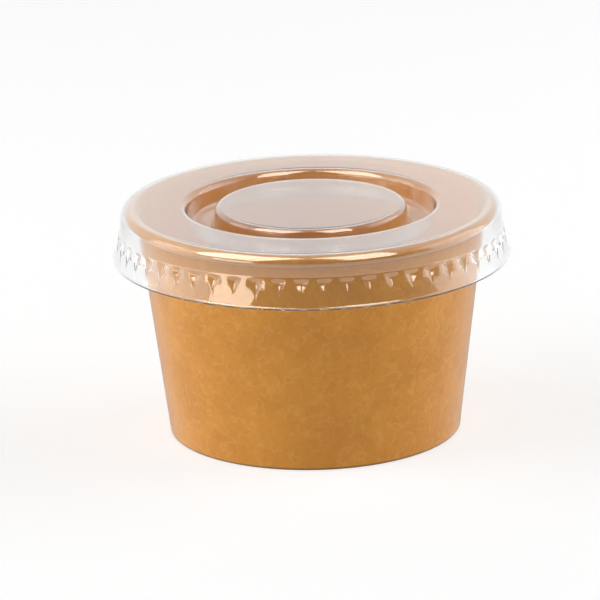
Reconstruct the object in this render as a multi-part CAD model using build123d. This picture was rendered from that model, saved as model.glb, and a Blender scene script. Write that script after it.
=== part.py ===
from build123d import *
from math import acos, atan2, cos, degrees, hypot, radians, sin, tan
import os

# A kraft paper sauce cup with a clear press-fit lid, in millimetres.
# The origin is the centre of the base, on the surface that the cup stands on, and +Z is up.

# Wall: a paperboard blank wrapped to a cone, lapped at the back, rolled at the rim and hemmed at the base
cup_height = 39.1
base_diameter = 49.4
rim_diameter = 62.4
rim_roll_diameter = 2.1
rim_roll_sweep = 290.0
paper_thickness = 0.35
fold_radius = 0.45
seam_lap_width = 8.0
seam_ramp_width = 4.0
seam_top_clearance = 0.3

# Base: a paper disc with its edge turned down, glued between the wall and the wall's hem
base_recess = 5.0
base_bend_radius = 0.5
hem_clearance = 0.8
glue_gap = 0.05

# Lid: one thermoformed sheet of clear plastic, seated on the rim
lid_sheet = 0.3
lid_height = 9.0
lid_seat_clearance = 0.1
skirt_clearance = 0.6
shoulder_radius = 1.7
skirt_height = 3.7
skirt_draft = 4.5
flare_width = 1.0
flare_bend_radius = 3.0
lip_width = 0.25
lip_fall = 20.0
lip_bend_radius = 0.4
flange_width = 10.1
flange_edge_radius = 1.3
moat_depth = 3.8
moat_width = 5.0
moat_draft = 8.0
moat_bend_radius = 0.7
button_drop = 0.2
button_edge_radius = 1.1

# Flutes: dents in the lid's flare that grip under the rim, wide at the top and pointed below
flute_count = 54
flute_height = 3.2
flute_drop = 4.0
flute_clearance = 0.32
flute_width_share = 0.92
overrun = 1.0

# The wall leans so that its inner face meets the rim roll without a corner
base_radius = base_diameter / 2
rim_radius = rim_diameter / 2
roll_radius = rim_roll_diameter / 2
roll_r = rim_radius - roll_radius
roll_z = cup_height - roll_radius
roll_reach = hypot(roll_r - base_radius, roll_z)
lean = acos((roll_radius - paper_thickness) / roll_reach) - atan2(roll_z, roll_r - base_radius)

# Layers behind the wall's outer face, where the base is glued in: wall, base edge, hem
wall_back = paper_thickness
edge_front = wall_back + glue_gap
edge_back = edge_front + paper_thickness
hem_front = edge_back + glue_gap
hem_back = hem_front + paper_thickness
hem_top = base_recess - hem_clearance
base_top = base_recess + paper_thickness
seam_ramp_end = seam_lap_width + seam_ramp_width

# Heights and radii of the lid's upper face
flange_top = cup_height + lid_seat_clearance + lid_sheet
trim_z = flange_top - lid_height
flare_z = flange_top - skirt_height
moat_z = flange_top - moat_depth
button_z = flange_top - button_drop
skirt_radius = rim_radius + skirt_clearance + lid_sheet
flare_radius = skirt_radius + skirt_height * tan(radians(skirt_draft))
lip_slope = tan(radians(lip_fall))
lip_z = trim_z + lip_width * lip_slope + lid_sheet / cos(radians(lip_fall))
flare_slope = flare_width / (flare_z - lip_z)
lip_radius = flare_radius + flare_width
trim_radius = lip_radius + lip_width
moat_radius = rim_radius - flange_width
button_radius = moat_radius - moat_width


def wall_radius(inset, z):
    """Radius, at a height, of the face that lies a given depth behind the wall's outer face."""
    return base_radius + z * tan(lean) - inset / cos(lean)


def turned(section):
    """Turns a section, drawn as radius and height, about the cup's axis."""
    return revolve(Plane.XZ * section, axis=Axis.Z)


def wall_section():
    """The wall's paper in one run: hem, bottom fold, cone and rim roll."""
    start = 180 - degrees(lean)
    roll = (roll_r, roll_z)
    roll_back = CenterArc(roll, roll_radius - paper_thickness, start, -rim_roll_sweep)
    roll_front = CenterArc(roll, roll_radius, start, -rim_roll_sweep)
    outside = FilletPolyline(
        (wall_radius(hem_back, hem_top), hem_top),
        (wall_radius(hem_back, 0), 0),
        (base_radius, 0),
        roll_back @ 0,
        radius=fold_radius,
    )
    inside = Polyline(
        roll_front @ 0,
        (wall_radius(wall_back, paper_thickness), paper_thickness),
        (wall_radius(hem_front, paper_thickness), paper_thickness),
        (wall_radius(hem_front, hem_top), hem_top),
        outside @ 0,
    )
    return make_face([outside, roll_back, Line(roll_back @ 1, roll_front @ 1), roll_front, inside])


def seam_point(inset, width, z):
    """A point at the back of the cup, a width round the wall from the seam's open edge."""
    radius = wall_radius(inset, z)
    turn = radians(90) + (width - seam_lap_width / 2) / radius
    return (radius * cos(turn), radius * sin(turn), z)


def seam_arc(inset, start, end, z):
    """An arc round the wall at the back, between two widths from the seam's open edge."""
    return ThreePointArc(*[seam_point(inset, width, z) for width in (start, (start + end) / 2, end)])


def between(front, back):
    """The face between two lines that run opposite ways."""
    return make_face([front, Line(front @ 1, back @ 0), back, Line(back @ 1, front @ 0)])


def lap_section(z):
    """The blank's outer end where it lies on the wall, ramped down beyond the inner end's edge."""
    outside = seam_arc(-paper_thickness, 0, seam_lap_width, z)
    return between(outside, seam_arc(paper_thickness / 2, seam_ramp_end, 0, z))


def hollow_section(z):
    """The space inside the ramp, beside the edge of the blank's inner end."""
    ramp = Line(seam_point(0, seam_lap_width, z), seam_point(wall_back, seam_ramp_end, z))
    return between(ramp, seam_arc(wall_back + overrun, seam_ramp_end, seam_lap_width, z))


def cup_wall():
    high = roll_z - roll_radius - seam_top_clearance
    lap = loft([lap_section(fold_radius), lap_section(high)], ruled=True)
    hollow = loft([hollow_section(base_top + base_bend_radius), hollow_section(high)], ruled=True)
    return turned(wall_section()) + lap - hollow


def cup_base():
    edge_z = paper_thickness + glue_gap
    section = FilletPolyline(
        (0, base_top),
        (wall_radius(edge_front, base_top), base_top),
        (wall_radius(edge_front, edge_z), edge_z),
        (wall_radius(edge_back, edge_z), edge_z),
        (wall_radius(edge_back, base_recess), base_recess),
        (0, base_recess),
        radius=[base_bend_radius, 0, 0, base_bend_radius - paper_thickness],
    )
    return turned(make_face([section, Line(section @ 1, section @ 0)]))


def lid_face():
    """The lid's upper face from its centre to just past the trimmed edge."""
    draft = tan(radians(moat_draft))
    return FilletPolyline(
        (0, button_z),
        (button_radius, button_z),
        (button_radius + (button_z - moat_z) * draft, moat_z),
        (moat_radius - moat_depth * draft, moat_z),
        (moat_radius, flange_top),
        (skirt_radius, flange_top),
        (flare_radius, flare_z),
        (lip_radius, lip_z),
        (trim_radius + overrun, lip_z - (lip_width + overrun) * lip_slope),
        radius=[
            button_edge_radius,
            moat_bend_radius,
            moat_bend_radius,
            flange_edge_radius,
            shoulder_radius,
            flare_bend_radius,
            lip_bend_radius,
        ],
    )


def filled(face_line):
    """The solid under a face line, down past the trimmed edge."""
    end = face_line @ 1
    low = trim_z - overrun
    return turned(make_face([face_line, Polyline(end, (end.X, low), (0, low), face_line @ 0)]))


def flute_corners(depth):
    """Corners of one dent's cutter, at +X, with each face moved out by a depth."""
    top = flange_top - flute_drop
    valley = rim_radius + flute_clearance + lid_sheet
    brow = flare_radius + flare_slope * (flare_z - top)
    half_width = flute_width_share * radians(180 / flute_count) * brow
    reach = 2 * (brow + flare_slope * flute_height - valley)
    spread = half_width * reach / (brow - valley)
    corners = [
        Vector(valley, 0, top),
        Vector(valley + reach, spread, top),
        Vector(valley + reach, -spread, top),
        Vector(valley + reach, 0, top - 2 * flute_height),
    ]
    areas = []
    for skipped in range(len(corners)):
        a, b, c = [corner for index, corner in enumerate(corners) if index != skipped]
        areas.append((b - a).cross(c - a).length / 2)
    centre = sum((corner * area for corner, area in zip(corners, areas)), Vector()) / sum(areas)
    a, b, c, d = corners
    inner_radius = abs((b - a).cross(c - a).dot(d - a)) / 2 / sum(areas)
    return [centre + (corner - centre) * (1 + depth / inner_radius) for corner in corners]


def flutes(depth):
    """All the dents' cutters, ended just below the dents' points to leave the lip whole."""
    foot = Plane.XY.offset(flange_top - flute_drop - flute_height - lid_sheet)
    cutter = split(ConvexPolyhedron(flute_corners(depth)), bisect_by=foot, keep=Keep.TOP)
    return [turn * cutter for turn in PolarLocations(0, flute_count)]


def lid():
    upper = lid_face()
    lower = offset(upper, lid_sheet, side=Side.RIGHT, closed=False)
    sheet = (filled(upper) - flutes(0)) - (filled(lower) - flutes(lid_sheet))
    return sheet & Cylinder(trim_radius, 2 * flange_top)


os.makedirs("parts", exist_ok=True)
export_step(cup_wall(), "parts/cup_wall.step")
export_step(cup_base(), "parts/cup_base.step")
export_step(lid(), "parts/lid.step")
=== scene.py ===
from math import acos, atan2, cos, hypot, pi, radians, sin, tan

import bmesh
import bpy
from mathutils import Matrix, Vector


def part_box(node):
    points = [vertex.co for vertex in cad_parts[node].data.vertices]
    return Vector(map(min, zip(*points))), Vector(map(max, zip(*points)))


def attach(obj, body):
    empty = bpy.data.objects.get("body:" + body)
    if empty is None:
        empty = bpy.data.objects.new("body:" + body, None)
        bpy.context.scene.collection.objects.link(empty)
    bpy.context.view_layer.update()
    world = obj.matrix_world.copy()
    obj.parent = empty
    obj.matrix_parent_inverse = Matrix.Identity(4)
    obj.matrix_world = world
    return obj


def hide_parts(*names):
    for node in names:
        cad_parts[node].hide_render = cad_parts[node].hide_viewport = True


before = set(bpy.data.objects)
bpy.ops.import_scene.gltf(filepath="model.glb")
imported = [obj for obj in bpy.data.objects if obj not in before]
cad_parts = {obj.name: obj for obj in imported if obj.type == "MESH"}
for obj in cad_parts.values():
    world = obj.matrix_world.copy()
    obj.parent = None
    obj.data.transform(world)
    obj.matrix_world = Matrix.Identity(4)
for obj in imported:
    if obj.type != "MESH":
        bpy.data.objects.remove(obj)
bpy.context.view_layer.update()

# A kraft paper sauce cup with a clear press-fit lid, in metres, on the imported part's frame.
# The cup stands on the floor at the origin, +Z is up, and the wall's lapped seam is at the back, +Y.
MM = 0.001

# Sizes that the frame gives
wall_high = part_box("cup_wall")[1]
base_low, base_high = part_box("cup_base")
lid_low, lid_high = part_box("lid")
rim_radius = wall_high.x
cup_height = wall_high.z
base_top = base_high.z
base_edge_z = base_low.z
trim_radius = lid_high.x
trim_z = lid_low.z
flange_top = lid_high.z

# Paper wall: a wrapped blank with a rolled rim, a folded hem and a lapped seam
paper_thickness = 0.35 * MM
base_radius = 24.7 * MM
roll_radius = 1.05 * MM
roll_sweep = radians(290)
fold_radius = 0.45 * MM
hem_height = 4.2 * MM
glue_gap = 0.05 * MM
seam_top_clearance = 0.3 * MM
paper_columns = 216
lap_columns = 10
ramp_columns = 5
roll_steps = 28
fold_steps = 6
paper_sharp_from = radians(40)

# Paper base: a disc with its edge turned down between the wall and the hem
base_bend_radius = 0.5 * MM
base_bend_steps = 5

# Clear lid: one thermoformed sheet
lid_sheet = 0.3 * MM
skirt_radius = 32.1 * MM
skirt_height = 3.7 * MM
skirt_draft = radians(4.5)
shoulder_radius = 1.7 * MM
flare_bend_radius = 3.0 * MM
flange_width = 10.1 * MM
flange_edge_radius = 1.3 * MM
moat_width = 5.0 * MM
moat_depth = 3.8 * MM
moat_draft = radians(8)
moat_bend_radius = 0.7 * MM
button_drop = 0.2 * MM
button_edge_radius = 1.1 * MM
lip_width = 0.25 * MM
lip_fall = radians(20)
lip_bend_radius = 0.4 * MM
lid_bend_steps = 7
lid_sharp_from = radians(60)

# Flutes: dents in the lid's flare, wide under a rounded ledge and fading to a point below
flute_count = 54
flute_drop = 4.0 * MM
flute_height = 3.2 * MM
flute_depth_clearance = 0.25 * MM
flute_width_share = 0.8
flute_tip_share = 0.15
flute_fade = 1.6
flute_ledge = 0.8 * MM
flute_ledge_rows = 4
flute_rows = 6
flute_half_columns = 5

# How near points are merged, and how far past a flute's edge still counts as its edge
merge_gap = 0.002 * MM
edge_tolerance = 0.01

# Kraft board. Real fibres are about 0.03 mm wide, and these are as wide as the render needs to show them.
# Colours are the sheet's middle, pale and deep ones.
wall_colours = ("#dc9538", "#eeba68", "#b47020")
base_colours = ("#db9539", "#e8b664", "#b26f22")
cloud_size = 7 * MM
cloud_detail = 4
cloud_breakup = 0.55
cloud_low = 0.3
cloud_high = 0.7
cloud_strength = 0.35
pale_fibre_length = 2.0 * MM
deep_fibre_length = 1.7 * MM
pale_fibre_seed = 1
deep_fibre_seed = 21
fibre_detail = 1
fibre_breakup = 0.4
fibre_curl = 0.5
fibre_level = 0.5
fibre_width_share = 0.06
fibre_gap_seed = 5
fibre_gap_low = 0.38
fibre_gap_high = 0.52
fibre_strength = 0.2
fibre_relief = 0.05 * MM
fibre_bump = 0.35
grain_size = 0.25 * MM
grain_detail = 2
board_ior = 1.47
board_gloss = 0.4
board_roughness_low = 0.45
board_roughness_high = 0.6
board_sheen = 1.0
board_sheen_roughness = 0.35

# Painted shadow: a dark line where the wall folds under at the floor, darker towards the bottom by
# height, in place of the cup's contact shadow
fold_shadow_colour = "#5c3d1c"
fold_shadow_strength = 0.85
fold_shadow_low = 0.2 * MM
fold_shadow_high = 0.55 * MM

# Clear plastic, under a thin low-index coat that whitens the flat top when it is seen at a slant
plastic_colour = "#eff0f0"
plastic_clarity = 1.0
plastic_ior = 1.575
plastic_roughness = 0.08
coat_weight = 1.0
coat_ior = 1.25
coat_roughness = 0.05
wave_size = 6 * MM
wave_detail = 1
wave_relief = 0.05 * MM
wave_bump = 0.2

# Camera
picture_width = 600
focal_pixels = 5163
sensor_width = 36
camera_distance = 877 * MM
camera_elevation = radians(16.88)
camera_roll = radians(-1.35)
camera_clip = 10 * MM
aim_height = 20.1 * MM
aim_right = -2.22 * MM
aim_up = 2.0 * MM
aim_point = Vector((0, 0, aim_height))

# Floor: it glows to the eye up to white, most of all far from the cup, where the lamps do not reach
floor_size = 6000 * MM
floor_colour = "#b4b4b4"
floor_glow = 0.615
far_floor_glow = 1.0
near_floor = 320 * MM
far_floor = 620 * MM

# Backdrop, as gloss shows it: dim on the camera's side and white at the back, by direction along Y
front_strength = 0.1
front_end = -0.6
back_start = 0.35

# Ambient light by direction along Z: rises from the floor's edge, then fades overhead
low_share = 0.3
low_end = 0.2
horizon_strength = 1.57
overhead_strength = 0.05
fade_start = 0.1
fade_end = 0.8

# Lamps, softboxes for gloss and panels for dull faces: azimuth and elevation in degrees, width, height
# and brightness
white = "#ffffff"
softbox_colour = "#fff1de"
lamp_distance = 600 * MM
left_softbox = (-53, 48, 440 * MM, 560 * MM, 6.5)
right_softbox = (37, 48, 320 * MM, 560 * MM, 6.5)
low_softbox = (-47, 7, 260 * MM, 160 * MM, 4.5)
left_panel = (-85, 19, 600 * MM, 560 * MM, 3.0)
right_panel = (100, 19, 600 * MM, 560 * MM, 2.65)

# Sockets of a Mix node, by place because their names repeat
mix_share = 0
number_a = 2
number_b = 3
colour_a = 6
colour_b = 7
mixed_colour = 2

# The wall leans so that its inner face meets the rim roll without a corner
roll_centre = Vector((rim_radius - roll_radius, cup_height - roll_radius))
roll_inside = roll_radius - paper_thickness
roll_reach = hypot(roll_centre.x - base_radius, roll_centre.y)
lean = acos(roll_inside / roll_reach) - atan2(roll_centre.y, roll_centre.x - base_radius)

# Layers behind the wall's outer face, and the seam's edges round the cup
edge_front = paper_thickness + glue_gap
hem_front = edge_front + paper_thickness + glue_gap
hem_back = hem_front + paper_thickness
layer_tolerance = paper_thickness / 4
seam_low = fold_radius
seam_high = roll_centre.y - roll_radius - seam_top_clearance
column_turn = 2 * pi / paper_columns
lap_start = pi / 2 - column_turn * lap_columns / 2
lap_end = lap_start + column_turn * lap_columns
ramp_end = lap_end + column_turn * ramp_columns

# Heights and radii on the lid's upper face
moat_z = flange_top - moat_depth
button_z = flange_top - button_drop
moat_radius = rim_radius - flange_width
button_radius = moat_radius - moat_width
flare_z = flange_top - skirt_height
flare_radius = skirt_radius + skirt_height * tan(skirt_draft)
lip_slope = tan(lip_fall)
lip_radius = trim_radius - lip_width
lip_z = trim_z + lip_width * lip_slope + lid_sheet / cos(lip_fall)
flare_slope = (lip_radius - flare_radius) / (flare_z - lip_z)
flute_top = flange_top - flute_drop
flute_tip = flute_top - flute_height
flute_valley = rim_radius + flute_depth_clearance + lid_sheet
flute_pitch = 2 * pi / flute_count


def rounded(corners, radii, steps):
    """A line through corners, each inner one rounded by an arc of its own radius."""
    corners = [Vector(corner) for corner in corners]
    line = corners[:1]
    for before, corner, after, radius in zip(corners, corners[1:], corners[2:], radii):
        back = (before - corner).normalized()
        ahead = (after - corner).normalized()
        half = back.angle(ahead) / 2
        turn = pi - 2 * half
        centre = corner + (back + ahead).normalized() * radius / sin(half)
        start = corner + back * radius / tan(half) - centre
        end = corner + ahead * radius / tan(half) - centre
        for step in range(steps + 1):
            share = step / steps
            spoke = start * sin(turn * (1 - share)) + end * sin(turn * share)
            line.append(centre + spoke / sin(turn))
    return line + corners[-1:]


def wall_radius(inset, z):
    """Radius, at a height, of the face that lies a given depth behind the wall's outer face."""
    return base_radius + z * tan(lean) - inset / cos(lean)


def flare_at(z):
    """Radius of the lid's flare at a height, between its flutes."""
    return flare_radius + flare_slope * (flare_z - z)


def start_piece(name, line):
    """Starts a piece as a run of edges through points given as radius and height."""
    bpy.ops.object.select_all(action="DESELECT")
    bpy.ops.mesh.primitive_plane_add()
    piece = bpy.context.object
    piece.name = name
    piece.data.name = name
    bpy.ops.object.mode_set(mode="EDIT")
    bpy.ops.mesh.select_mode(type="VERT")
    bpy.ops.mesh.select_all(action="SELECT")
    bpy.ops.mesh.merge(type="CENTER")
    bpy.ops.transform.translate(value=(line[0].x, 0, line[0].y))
    for before, after in zip(line, line[1:]):
        step = after - before
        bpy.ops.mesh.extrude_vertices_move(TRANSFORM_OT_translate={"value": (step.x, 0, step.y)})
    return piece


def spin_line(steps, turn):
    """Spins the run of edges about the cup's axis."""
    bpy.ops.mesh.select_all(action="SELECT")
    bpy.ops.mesh.spin(steps=steps, angle=turn, center=(0, 0, 0), axis=(0, 0, 1))


def close_and_face_out(piece):
    """Merges what meets and points every face away from the middle of the base."""
    bpy.ops.mesh.select_all(action="SELECT")
    bpy.ops.mesh.remove_doubles(threshold=merge_gap)
    bpy.ops.mesh.normals_make_consistent(inside=False)
    shell = bmesh.from_edit_mesh(piece.data)
    facing = sum(face.calc_area() * face.normal.dot(face.calc_center_median()) for face in shell.faces)
    if facing < 0:
        bpy.ops.mesh.flip_normals()
    bpy.ops.object.mode_set(mode="OBJECT")


def thicken(piece, thickness):
    """Gives the sheet its thickness behind the modelled face."""
    sheet = piece.modifiers.new("sheet", "SOLIDIFY")
    sheet.thickness = thickness
    sheet.offset = -1
    bpy.ops.object.modifier_apply(modifier=sheet.name)


def smooth(piece, sharp_from):
    """Shades curves smoothly, keeps flats flat, and keeps edges sharp from an angle up."""
    bpy.ops.object.shade_smooth_by_angle(angle=sharp_from)
    shading = piece.modifiers.new("shading", "WEIGHTED_NORMAL")
    shading.keep_sharp = True
    bpy.ops.object.modifier_apply(modifier=shading.name)


def finish_piece(piece, node, body, material):
    """Puts a piece in place of its node, on its body, with its material."""
    piece.data.materials.append(material)
    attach(piece, body)
    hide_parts(node)


def select_wall_strip(piece, inset, start, end):
    """Selects the wall's faces at one depth, between two angles round the cup."""
    bpy.ops.object.mode_set(mode="EDIT")
    bpy.ops.mesh.select_mode(type="FACE")
    bpy.ops.mesh.select_all(action="DESELECT")
    for face in bmesh.from_edit_mesh(piece.data).faces:
        middle = face.calc_center_median()
        on_layer = abs(middle.xy.length - wall_radius(inset, middle.z)) < layer_tolerance
        between = start < atan2(middle.y, middle.x) < end
        face.select_set(on_layer and between and seam_low < middle.z < seam_high)


def lift_strip(piece, lift):
    """Extrudes the selected strip and moves it away from the axis, each corner by its own lift."""
    bpy.ops.mesh.extrude_region_move(TRANSFORM_OT_translate={"value": (0, 0, 0)})
    for vertex in bmesh.from_edit_mesh(piece.data).verts:
        if vertex.select:
            outwards = vertex.co.xy.normalized() * lift(atan2(vertex.co.y, vertex.co.x))
            vertex.co.xy += outwards
    bpy.ops.mesh.select_all(action="SELECT")
    bpy.ops.mesh.remove_doubles(threshold=merge_gap)
    bpy.ops.object.mode_set(mode="OBJECT")


def ramp_lift(turn):
    """How far the blank's lapped end stands off the wall: its thickness, ramped down past the lap."""
    return paper_thickness / cos(lean) * min(1, (ramp_end - turn) / (ramp_end - lap_end))


def make_wall():
    """The wall: hem, fold, cone and rolled rim as one sheet, with the lapped seam raised at the back."""
    roll_start = pi - lean
    roll = []
    for step in range(roll_steps + 1):
        turn = roll_start - roll_sweep * step / roll_steps
        roll.append(roll_centre + roll_inside * Vector((cos(turn), sin(turn))))
    corners = [
        (wall_radius(hem_back, hem_height), hem_height),
        (wall_radius(hem_back, 0), 0),
        (base_radius, 0),
        (wall_radius(0, seam_high), seam_high),
    ]
    fold = rounded(corners, [fold_radius, fold_radius], fold_steps)
    piece = start_piece("kraft_wall", fold + roll)
    spin_line(paper_columns, 2 * pi)
    close_and_face_out(piece)
    thicken(piece, paper_thickness)
    select_wall_strip(piece, 0, lap_start, ramp_end)
    lift_strip(piece, ramp_lift)
    select_wall_strip(piece, paper_thickness, lap_end, ramp_end)
    lift_strip(piece, ramp_lift)
    smooth(piece, paper_sharp_from)
    return piece


def make_base():
    """The base: a recessed disc with its edge turned down."""
    corners = [
        (0, base_top),
        (wall_radius(edge_front, base_top), base_top),
        (wall_radius(edge_front, base_edge_z), base_edge_z),
    ]
    piece = start_piece("kraft_base", rounded(corners, [base_bend_radius], base_bend_steps))
    spin_line(paper_columns, 2 * pi)
    close_and_face_out(piece)
    thicken(piece, paper_thickness)
    smooth(piece, paper_sharp_from)
    return piece


def lid_line():
    """The lid's upper face from its centre to its trimmed edge, with rows for the flutes."""
    draft = tan(moat_draft)
    ledge_low = flute_top - flute_ledge
    rows = [flute_top - flute_ledge * step / flute_ledge_rows for step in range(flute_ledge_rows)]
    rows += [ledge_low + (flute_tip - ledge_low) * step / flute_rows for step in range(flute_rows + 1)]
    flare = [Vector((flare_at(z), z)) for z in rows]
    face = [
        (0, button_z),
        (button_radius, button_z),
        (button_radius + (button_z - moat_z) * draft, moat_z),
        (moat_radius - moat_depth * draft, moat_z),
        (moat_radius, flange_top),
        (skirt_radius, flange_top),
        (flare_radius, flare_z),
        flare[0],
    ]
    moat_radii = [button_edge_radius, moat_bend_radius, moat_bend_radius, flange_edge_radius]
    lip = [flare[-1], (lip_radius, lip_z), (trim_radius, lip_z - lip_width * lip_slope)]
    upper = rounded(face, moat_radii + [shoulder_radius, flare_bend_radius], lid_bend_steps)
    return upper + flare[1:-1] + rounded(lip, [lip_bend_radius], lid_bend_steps)


def press_flute(piece):
    """Draws the wedge's columns in to a flute's edges and presses the flute in, with soft bends."""
    brow_width = flute_width_share * flute_pitch / 2
    wedge = bmesh.from_edit_mesh(piece.data)
    for vertex in wedge.verts:
        radius = vertex.co.xy.length
        if radius < merge_gap:
            continue
        # How far down the flute a point is, how far from its tip to the trim, and how far to its side
        sunk = min(max((flute_top - vertex.co.z) / flute_height, 0), 1)
        spread = max(flute_tip - vertex.co.z, 0) / (flute_tip - trim_z)
        place = abs(atan2(vertex.co.y, vertex.co.x)) / flute_pitch * 2 - 1
        share = abs(place) * (flute_half_columns + 1) / flute_half_columns
        width = brow_width * max(1 - sunk, spread, flute_tip_share)
        turn = min(width * share, flute_pitch / 2)
        if share > 1 + edge_tolerance:
            turn = flute_pitch / 2
        elif radius > flute_valley and vertex.co.z > flute_tip:
            ledge = min(max((flute_top - vertex.co.z) / flute_ledge, 0), 1)
            depth = (flare_at(flute_top) - flute_valley) * (1 - sunk) ** flute_fade
            radius -= depth * (1 - share) * (1 - cos(pi * ledge)) / 2
        if place < 0:
            turn = -turn
        vertex.co.xy = (radius * cos(turn), radius * sin(turn))
    bmesh.update_edit_mesh(piece.data)


def make_lid():
    """The lid: one fluted wedge, copied round the axis and thickened."""
    piece = start_piece("clear_lid", lid_line())
    spin_line(2 * (flute_half_columns + 1), flute_pitch)
    press_flute(piece)
    bpy.ops.mesh.select_all(action="SELECT")
    copies = flute_count - 1
    bpy.ops.mesh.spin(
        steps=copies, angle=flute_pitch * copies, center=(0, 0, 0), axis=(0, 0, 1), dupli=True
    )
    close_and_face_out(piece)
    thicken(piece, lid_sheet)
    smooth(piece, lid_sharp_from)
    return piece


def linear(code):
    """An sRGB hex colour as linear red, green, blue and alpha, by the standard's formula."""
    parts = [int(code[place:place + 2], 16) / 255 for place in (1, 3, 5)]
    return [part / 12.92 if part <= 0.04045 else ((part + 0.055) / 1.055) ** 2.4 for part in parts] + [1]


def new_material(name):
    """A material with an empty node tree, and the tree."""
    material = bpy.data.materials.new(name)
    material.use_nodes = True
    material.node_tree.nodes.clear()
    return material, material.node_tree


def add(tree, kind, inputs=None, **settings):
    """Adds a node with its settings, and sets or links each of its inputs."""
    node = tree.nodes.new("ShaderNode" + kind)
    for name, value in settings.items():
        setattr(node, name, value)
    for name, value in (inputs or {}).items():
        if isinstance(value, bpy.types.NodeSocket):
            tree.links.new(value, node.inputs[name])
        else:
            node.inputs[name].default_value = value
    return node


def fibre_mask(tree, place, length, seed):
    """Short curled fibres: thin contours of a noise, broken up by a second noise."""
    curls = add(tree, "TexNoise", {
        "Vector": place, "W": seed, "Scale": 1 / length,
        "Detail": fibre_detail, "Roughness": fibre_breakup, "Distortion": fibre_curl,
    }, noise_dimensions="4D")
    offset = add(tree, "Math", {0: curls.outputs["Fac"], 1: fibre_level}, operation="SUBTRACT")
    distance = add(tree, "Math", {0: offset.outputs[0]}, operation="ABSOLUTE")
    lines = add(tree, "MapRange", {
        "Value": distance.outputs[0], "From Max": fibre_width_share, "To Min": 1, "To Max": 0,
    }, interpolation_type="SMOOTHSTEP")
    gaps = add(tree, "TexNoise", {
        "Vector": place, "W": seed + fibre_gap_seed, "Scale": 1 / length, "Detail": 0,
    }, noise_dimensions="4D")
    runs = add(tree, "MapRange", {
        "Value": gaps.outputs["Fac"], "From Min": fibre_gap_low, "From Max": fibre_gap_high,
    }, interpolation_type="SMOOTHSTEP")
    return add(tree, "Math", {0: lines.outputs[0], 1: runs.outputs[0]}, operation="MULTIPLY").outputs[0]


def kraft_board(name, middle, pale, deep):
    """Unbleached kraft board, pressed from pulp: dull, with clouds and curled fibres in its colour."""
    material, tree = new_material(name)
    place = add(tree, "TexCoord").outputs["Object"]
    clouds = add(tree, "TexNoise", {
        "Vector": place, "Scale": 1 / cloud_size, "Detail": cloud_detail, "Roughness": cloud_breakup,
    }).outputs["Fac"]
    cloud_share = add(tree, "MapRange", {
        "Value": clouds, "From Min": cloud_low, "From Max": cloud_high, "To Max": cloud_strength,
    })
    pale_fibres = fibre_mask(tree, place, pale_fibre_length, pale_fibre_seed)
    deep_fibres = fibre_mask(tree, place, deep_fibre_length, deep_fibre_seed)
    pale_share = add(tree, "Math", {0: pale_fibres, 1: fibre_strength}, operation="MULTIPLY")
    deep_share = add(tree, "Math", {0: deep_fibres, 1: fibre_strength}, operation="MULTIPLY")
    # Painted shadow: the board is darkened near the floor, where the wall folds under, in place of the
    # contact shadow
    fold_shadow_share = add(tree, "MapRange", {
        "Value": add(tree, "SeparateXYZ", {0: place}).outputs["Z"],
        "From Min": fold_shadow_low, "From Max": fold_shadow_high, "To Min": fold_shadow_strength, "To Max": 0,
    })
    tints = [(cloud_share, deep), (pale_share, pale), (deep_share, deep), (fold_shadow_share, fold_shadow_colour)]
    colour = linear(middle)
    for share, tint in tints:
        colour = add(tree, "Mix", {
            mix_share: share.outputs[0], colour_a: colour, colour_b: linear(tint),
        }, data_type="RGBA").outputs[mixed_colour]
    relief = add(tree, "Math", {0: pale_fibres, 1: deep_fibres}, operation="SUBTRACT")
    grain = add(tree, "TexNoise", {"Vector": place, "Scale": 1 / grain_size, "Detail": grain_detail})
    height = add(tree, "Math", {0: relief.outputs[0], 1: grain.outputs["Fac"]}, operation="ADD")
    bump = add(tree, "Bump", {
        "Height": height.outputs[0], "Strength": fibre_bump, "Distance": fibre_relief,
    })
    dullness = add(tree, "MapRange", {
        "Value": clouds, "From Min": cloud_low, "From Max": cloud_high,
        "To Min": board_roughness_low, "To Max": board_roughness_high,
    })
    board = add(tree, "BsdfPrincipled", {
        "Base Color": colour,
        "Roughness": dullness.outputs[0],
        "IOR": board_ior,
        "Specular IOR Level": board_gloss,
        "Sheen Weight": board_sheen,
        "Sheen Roughness": board_sheen_roughness,
        "Normal": bump.outputs[0],
    })
    add(tree, "OutputMaterial", {"Surface": board.outputs[0]})
    return material


def clear_sheet(name):
    """Clear thermoformed PET: glossy, faintly wavy where the sheet was drawn, and lets lamps through."""
    material, tree = new_material(name)
    place = add(tree, "TexCoord").outputs["Object"]
    waves = add(tree, "TexNoise", {"Vector": place, "Scale": 1 / wave_size, "Detail": wave_detail})
    bump = add(tree, "Bump", {
        "Height": waves.outputs["Fac"], "Strength": wave_bump, "Distance": wave_relief,
    })
    plastic = add(tree, "BsdfPrincipled", {
        "Base Color": linear(plastic_colour),
        "Roughness": plastic_roughness,
        "IOR": plastic_ior,
        "Transmission Weight": plastic_clarity,
        "Coat Weight": coat_weight,
        "Coat IOR": coat_ior,
        "Coat Roughness": coat_roughness,
        "Normal": bump.outputs[0],
    })
    see_through = add(tree, "BsdfTransparent", {"Color": linear(white)})
    path = add(tree, "LightPath")
    surface = plastic
    for light in ("Is Diffuse Ray", "Is Shadow Ray"):
        surface = add(tree, "MixShader", {
            0: path.outputs[light], 1: surface.outputs[0], 2: see_through.outputs[0],
        })
    add(tree, "OutputMaterial", {"Surface": surface.outputs[0]})
    return material


def seen_ray(tree):
    """1 for a ray that shows the studio to the eye, straight or by way of something shiny or clear."""
    path = add(tree, "LightPath")
    seen = path.outputs["Is Camera Ray"]
    for kind in ("Is Glossy Ray", "Is Transmission Ray"):
        seen = add(tree, "Math", {0: seen, 1: path.outputs[kind]}, operation="MAXIMUM").outputs[0]
    return seen


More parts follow.
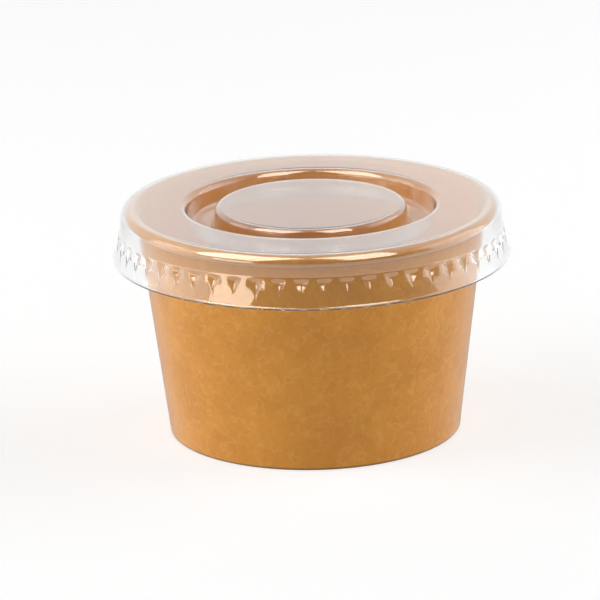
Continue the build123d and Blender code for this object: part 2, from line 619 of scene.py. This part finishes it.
def studio_floor():
    """Matt white card that glows to the eye, so that only the cup's shadow shows on it."""
    bpy.ops.object.select_all(action="DESELECT")
    bpy.ops.mesh.primitive_plane_add(size=floor_size)
    floor = bpy.context.object
    floor.name = "floor"
    material, tree = new_material("white card")
    card = add(tree, "BsdfDiffuse", {"Color": linear(floor_colour)})
    place = add(tree, "TexCoord").outputs["Object"]
    distance = add(tree, "VectorMath", {0: place}, operation="LENGTH")
    brightness = add(tree, "MapRange", {
        "Value": distance.outputs["Value"], "From Min": near_floor, "From Max": far_floor,
        "To Min": floor_glow, "To Max": far_floor_glow,
    })
    glow = add(tree, "Emission", {"Strength": brightness.outputs[0]})
    dark = add(tree, "Emission", {"Strength": 0})
    seen = add(tree, "MixShader", {
        0: seen_ray(tree), 1: dark.outputs[0], 2: glow.outputs[0],
    })
    total = add(tree, "AddShader", {0: card.outputs[0], 1: seen.outputs[0]})
    add(tree, "OutputMaterial", {"Surface": total.outputs[0]})
    floor.data.materials.append(material)


def studio_world():
    """White to the eye, with a dim camera side in gloss, and an ambient light that fades overhead."""
    world = bpy.data.worlds.new("studio")
    world.use_nodes = True
    tree = world.node_tree
    tree.nodes.clear()
    towards = add(tree, "SeparateXYZ", {0: add(tree, "TexCoord").outputs["Generated"]})
    backdrop = add(tree, "MapRange", {
        "Value": towards.outputs["Y"], "From Min": front_end, "From Max": back_start,
        "To Min": front_strength, "To Max": 1,
    }, interpolation_type="SMOOTHSTEP")
    shown = add(tree, "Math", {
        0: backdrop.outputs[0], 1: add(tree, "LightPath").outputs["Is Camera Ray"],
    }, operation="MAXIMUM")
    rise = add(tree, "MapRange", {
        "Value": towards.outputs["Z"], "From Max": low_end, "To Min": low_share, "To Max": 1,
    })
    fade = add(tree, "MapRange", {
        "Value": towards.outputs["Z"], "From Min": fade_start, "From Max": fade_end,
        "To Min": horizon_strength, "To Max": overhead_strength,
    })
    ambient = add(tree, "Math", {0: rise.outputs[0], 1: fade.outputs[0]}, operation="MULTIPLY")
    strength = add(tree, "Mix", {
        mix_share: seen_ray(tree), number_a: ambient.outputs[0], number_b: shown.outputs[0],
    })
    light = add(tree, "Background", {"Color": linear(white), "Strength": strength.outputs[0]})
    add(tree, "OutputWorld", {"Surface": light.outputs[0]})
    bpy.context.scene.world = world


def outwards_from_cup(azimuth, elevation):
    """Direction from the cup to a place round it: azimuth 0 is the camera's side, and 90 the right."""
    return Vector((
        sin(azimuth) * cos(elevation), -cos(azimuth) * cos(elevation), sin(elevation),
    ))


def studio_lamp(name, azimuth, elevation, width, height, brightness, colour, in_gloss):
    """A lamp that faces the cup, for gloss only or for dull faces only. A brightness of 1 looks white."""
    outwards = outwards_from_cup(radians(azimuth), radians(elevation))
    bpy.ops.object.light_add(type="AREA", location=aim_point + outwards * lamp_distance)
    lamp = bpy.context.object
    lamp.name = name
    lamp.rotation_euler = outwards.to_track_quat("Z", "Y").to_euler()
    lamp.data.shape = "RECTANGLE"
    lamp.data.size = width
    lamp.data.size_y = height
    lamp.data.energy = brightness * pi * width * height
    lamp.data.color = linear(colour)[:3]
    lamp.visible_camera = False
    lamp.visible_diffuse = not in_gloss
    lamp.visible_glossy = in_gloss


def photo_camera():
    """Looks down at the cup from the front with a long lens."""
    outwards = outwards_from_cup(0, camera_elevation)
    turn = outwards.to_track_quat("Z", "Y").to_matrix() @ Matrix.Rotation(camera_roll, 3, "Z")
    aim = aim_point + turn @ Vector((aim_right, aim_up, 0))
    data = bpy.data.cameras.new("camera")
    data.sensor_width = sensor_width
    data.lens = focal_pixels / picture_width * sensor_width
    data.clip_start = camera_clip
    camera = bpy.data.objects.new("camera", data)
    camera.location = aim + outwards * camera_distance
    camera.rotation_euler = turn.to_euler()
    bpy.context.scene.collection.objects.link(camera)
    bpy.context.scene.camera = camera


finish_piece(make_wall(), "cup_wall", "cup", kraft_board("kraft board", *wall_colours))
finish_piece(
    make_base(), "cup_base", "cup", kraft_board("kraft base board", *base_colours)
)
finish_piece(make_lid(), "lid", "lid", clear_sheet("clear PET"))
studio_floor()
studio_world()
studio_lamp("left softbox", *left_softbox, softbox_colour, in_gloss=True)
studio_lamp("right softbox", *right_softbox, softbox_colour, in_gloss=True)
studio_lamp("low softbox", *low_softbox, softbox_colour, in_gloss=True)
studio_lamp("left panel", *left_panel, white, in_gloss=False)
studio_lamp("right panel", *right_panel, white, in_gloss=False)
photo_camera()
bpy.context.scene.view_settings.view_transform = "Standard"
